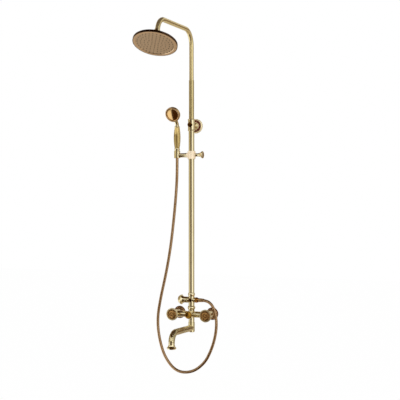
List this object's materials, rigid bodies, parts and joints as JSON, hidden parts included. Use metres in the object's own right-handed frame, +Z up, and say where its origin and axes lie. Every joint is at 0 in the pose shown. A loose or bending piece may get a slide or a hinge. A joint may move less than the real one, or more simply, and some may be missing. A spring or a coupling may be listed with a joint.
{
  "type": "rainfall shower column",
  "caption": "Wall-mounted antique brass shower column with tilting rain head on a telescopic arm, telephone handset on a slider, diverter, two-handle mixer and swivel bath spout.",
  "frame": {"origin": "on the wall plane, midway between the hot and cold inlets", "axes": "+Z up along the column, -Y out of the wall towards the bather, +X towards the cold inlet"},
  "size_m": [0.2799, 0.4958, 1.4444],
  "materials": {
    "aged_brass": "polished, lightly aged",
    "plain_brass": "machined",
    "carved_brass": "relief carved, dark in the hollows",
    "face_brass": "satin",
    "mirror_brass": "mirror polished",
    "hose_metal": "ribbed metal braid",
    "steel": "plain",
    "ceramic": "ground",
    "nylon": "matt",
    "fibre": "matt",
    "rubber": "matt"
  },
  "bodies": {
    "base": {"wall_unions": "plain_brass", "wall_flanges": "carved_brass", "union_nuts": "aged_brass", "union_washers": "fibre", "valve_cartridges": "plain_brass", "ceramic_discs": "ceramic", "mixer_body": "aged_brass", "mixer_front_cap": "aged_brass", "diverter_base_ring": "aged_brass", "diverter_body": "aged_brass", "diverter_front_cap": "aged_brass", "diverter_cartridge": "plain_brass", "hose_outlet": "aged_brass", "hose_outlet_nut": "aged_brass", "hose_ferrule": "aged_brass", "riser_ring": "aged_brass", "lower_riser": "aged_brass", "upper_riser": "aged_brass", "bracket_tee": "aged_brass", "bracket_front_cap": "aged_brass", "bracket_post": "aged_brass", "bracket_wall_plate": "steel", "bracket_rosette": "carved_brass", "leg": "aged_brass", "leg_end_cap": "aged_brass", "shower_hose": "hose_metal"},
    "hot_handle": {"hot_spindle": "plain_brass", "hot_handle": "aged_brass", "hot_handle_screw": "steel", "hot_handle_face": "carved_brass"},
    "cold_handle": {"cold_spindle": "plain_brass", "cold_handle": "aged_brass", "cold_handle_screw": "steel", "cold_handle_face": "carved_brass"},
    "diverter_knob": {"diverter_knob": "aged_brass", "diverter_spindle": "plain_brass"},
    "spout": {"spout": "carved_brass", "spout_tip": "aged_brass", "aerator": "nylon"},
    "arm_slide": {"arm_guide_ring": "nylon"},
    "arm": {"arm": "aged_brass", "arm_end_nut": "aged_brass", "swivel_ball": "plain_brass"},
    "swivel_seat": {"swivel_seat": "nylon"},
    "rain_head": {"swivel_nut": "aged_brass", "rain_head_shell": "aged_brass", "rain_head_face": "face_brass", "rain_nozzles": "rubber"},
    "slider": {"slider_bush": "nylon"},
    "slider_clamp": {"slider_clamp": "aged_brass"},
    "slider_knob": {"slider_knob": "aged_brass"},
    "holder": {"holder_arm": "aged_brass", "holder_cup": "aged_brass"},
    "handset": {"hose_cone_nut": "aged_brass", "handset_lower_collar": "aged_brass", "handset_grip": "aged_brass", "handset_upper_collar": "aged_brass", "handset_head_shell": "aged_brass", "handset_bezel": "aged_brass", "handset_face": "mirror_brass"}
  },
  "joints": [
    {"name": "hot_handle_turn", "type": "hinge", "parent": "base", "child": "hot_handle", "pos_m": [-0.075, -0.08, 0], "axis": [0, -1, 0], "range_deg": [0, 90]},
    {"name": "cold_handle_turn", "type": "hinge", "parent": "base", "child": "cold_handle", "pos_m": [0.075, -0.08, 0], "axis": [0, -1, 0], "range_deg": [-90, 0]},
    {"name": "diverter_turn", "type": "hinge", "parent": "base", "child": "diverter_knob", "pos_m": [-0.03, -0.05, 0.0605], "axis": [1, 0, 0], "range_deg": [-90, 90]},
    {"name": "spout_swivel", "type": "hinge", "parent": "base", "child": "spout", "pos_m": [0, -0.05, -0.05], "axis": [0, 0, 1], "range_deg": [-60, 60]},
    {"name": "arm_height", "type": "slide", "parent": "base", "child": "arm_slide", "axis": [0, 0, 1], "range_m": [-0.06, 0.05]},
    {"name": "arm_turn", "type": "hinge", "parent": "arm_slide", "child": "arm", "pos_m": [0, -0.05, 0.9], "axis": [0, 0, 1], "range_deg": [-60, 60]},
    {"name": "head_tilt", "type": "hinge", "parent": "arm", "child": "swivel_seat", "pos_m": [0, -0.38868, 1.0967], "axis": [1, 0, 0], "range_deg": [-12, 12]},
    {"name": "head_roll", "type": "hinge", "parent": "swivel_seat", "child": "rain_head", "pos_m": [0, -0.38868, 1.0967], "axis": [0, 0.9397, -0.342], "range_deg": [-12, 12]},
    {"name": "slider_height", "type": "slide", "parent": "base", "child": "slider", "axis": [0, 0, 1], "range_m": [-0.25, 0.075], "deforming": ["shower_hose"]},
    {"name": "slider_turn", "type": "hinge", "parent": "slider", "child": "slider_clamp", "pos_m": [0, -0.05, 0.668], "axis": [0, 0, 1], "range_deg": [-25, 35]},
    {"name": "slider_knob_turn", "type": "hinge", "parent": "slider_clamp", "child": "slider_knob", "pos_m": [0.03, -0.05, 0.668], "axis": [1, 0, 0], "range_deg": [0, 180]},
    {"name": "holder_tilt", "type": "hinge", "parent": "slider_clamp", "child": "holder", "pos_m": [-0.03, -0.05, 0.668], "axis": [1, 0, 0], "range_deg": [-10, 35]},
    {"name": "handset_lift", "type": "slide", "parent": "holder", "child": "handset", "axis": [0, 0, 1], "range_m": [0, 0.045]}
  ]
}
